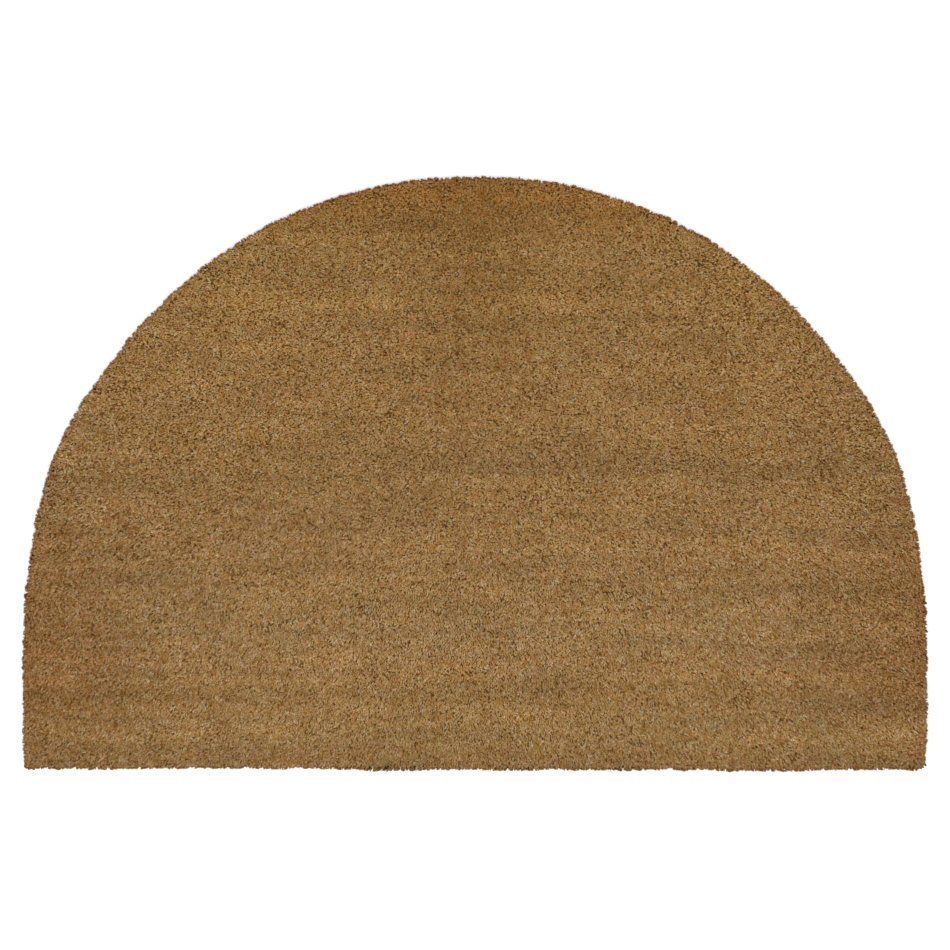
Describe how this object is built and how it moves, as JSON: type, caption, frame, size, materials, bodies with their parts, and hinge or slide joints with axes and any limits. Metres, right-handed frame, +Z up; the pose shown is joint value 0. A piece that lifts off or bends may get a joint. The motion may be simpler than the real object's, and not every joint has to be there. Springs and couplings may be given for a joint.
{
  "type": "coir doormat",
  "caption": "Half-round doormat of short shorn coir pile bonded into a thin backing, lying flat, straight along one long edge.",
  "frame": {"origin": "under the middle of the mat's bounding box, on the plane that it lies on", "axes": "+X along the straight front edge, +Y towards the crown of the arch, +Z up out of the pile"},
  "size_m": [0.7522, 0.4936, 0.017],
  "materials": {
    "coir": "matt golden-brown shorn coir pile, with a plain dark vinyl-like underside"
  },
  "bodies": {
    "root": {"coir_mat": "coir"}
  },
  "joints": []
}
